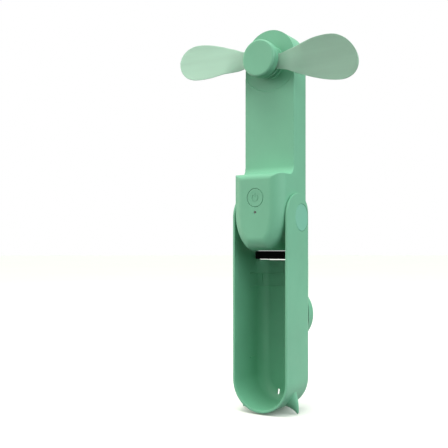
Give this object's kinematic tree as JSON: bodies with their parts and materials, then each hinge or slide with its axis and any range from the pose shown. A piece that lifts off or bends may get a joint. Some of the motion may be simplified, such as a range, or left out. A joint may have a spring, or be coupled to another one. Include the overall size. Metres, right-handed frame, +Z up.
{
  "type": "folding handheld electric fan",
  "caption": "Pocket fan whose arm, motor and soft paddle blades fold down into a channel-shaped handle with a hinge between two round ears.",
  "frame": {"origin": "centre of the flat face of the round pad on the handle's back", "axes": "+Z up along the handle to the fan head, +Y out of the handle's back, +X to the fan's right as seen from its front"},
  "size_m": [0.1298, 0.0429, 0.2459],
  "materials": {
    "handle_plastic": "satin mint green moulding",
    "pad_plastic": "satin mint green",
    "cap_plastic": "satin mint green",
    "body_plastic": "satin mint green moulding",
    "cover_plastic": "satin mint green moulding",
    "button_plastic": "satin mint green",
    "hub_plastic": "satin mint green",
    "hub_cap_plastic": "satin mint green",
    "blade_plastic": "soft translucent pale green",
    "steel": "zinc plated",
    "brass": "sintered",
    "socket_metal": "bright stamped",
    "board": "solder mask",
    "black_plastic": "matt",
    "stop_rubber": "matt black",
    "lamp": "clear epoxy",
    "lamp_window": "smoked, unlit",
    "cell_foil": "crimped foil",
    "foam": "open cell",
    "lead_red": "pvc sleeve",
    "lead_black": "pvc sleeve"
  },
  "bodies": {
    "handle": {"handle_shell": "handle_plastic", "rear_pad": "pad_plastic", "hinge_cap_left": "cap_plastic", "hinge_cap_right": "cap_plastic", "hinge_pin_left": "steel", "hinge_pin_right": "steel", "retaining_clip_left": "steel", "retaining_clip_right": "steel"},
    "fan_body": {"front_shell": "body_plastic", "rear_cover": "cover_plastic", "stop_bar": "stop_rubber", "charge_port": "socket_metal", "hinge_bush_left": "brass", "hinge_bush_right": "brass", "friction_washer_left": "steel", "friction_washer_right": "steel", "motor_can": "steel", "motor_end_cap": "black_plastic", "motor_bearing": "brass", "motor_screw_lower": "steel", "motor_screw_upper": "steel", "control_board": "board", "board_screw_left": "steel", "board_screw_right": "steel", "tactile_switch": "black_plastic", "indicator_led": "lamp", "light_pipe": "lamp_window", "battery_cell": "cell_foil", "battery_foam": "foam", "motor_lead_red": "lead_red", "motor_lead_black": "lead_black"},
    "rotor": {"motor_shaft": "steel", "blade_hub": "hub_plastic", "hub_cap": "hub_cap_plastic", "blade_pin_left": "steel", "blade_pin_right": "steel"},
    "blade_left": {"blade_left": "blade_plastic"},
    "blade_right": {"blade_right": "blade_plastic"},
    "power_button": {"power_button": "button_plastic"}
  },
  "joints": [
    {"name": "body_fold", "type": "hinge", "parent": "handle", "child": "fan_body", "pos_m": [0, -0.0227, 0.0633], "axis": [1, 0, 0], "range_deg": [0, 180]},
    {"name": "fan_spin", "type": "hinge", "parent": "fan_body", "child": "rotor", "pos_m": [0, -0.0282, 0.1633], "axis": [0, 1, 0], "continuous": true},
    {"name": "blade_right_fold", "type": "hinge", "parent": "rotor", "child": "blade_right", "pos_m": [0.00641, -0.0309, 0.1622], "axis": [0, 1, 0], "range_deg": [0, 89.3], "deforming": ["blade_right"]},
    {"name": "blade_left_fold", "type": "hinge", "parent": "rotor", "child": "blade_left", "pos_m": [-0.00641, -0.0327, 0.1644], "axis": [0, 1, 0], "range_deg": [-102.7, 0], "deforming": ["blade_left"]},
    {"name": "button_press", "type": "slide", "parent": "fan_body", "child": "power_button", "axis": [0, 1, 0], "range_m": [0, 0.0005], "stiffness_N_per_m": 1500, "springref_m": -0.0003}
  ],
  "couplings": [
    {"joint": "blade_right_fold", "follows": "body_fold", "ratio": 0.4961},
    {"joint": "blade_left_fold", "follows": "body_fold", "ratio": -0.5705}
  ]
}
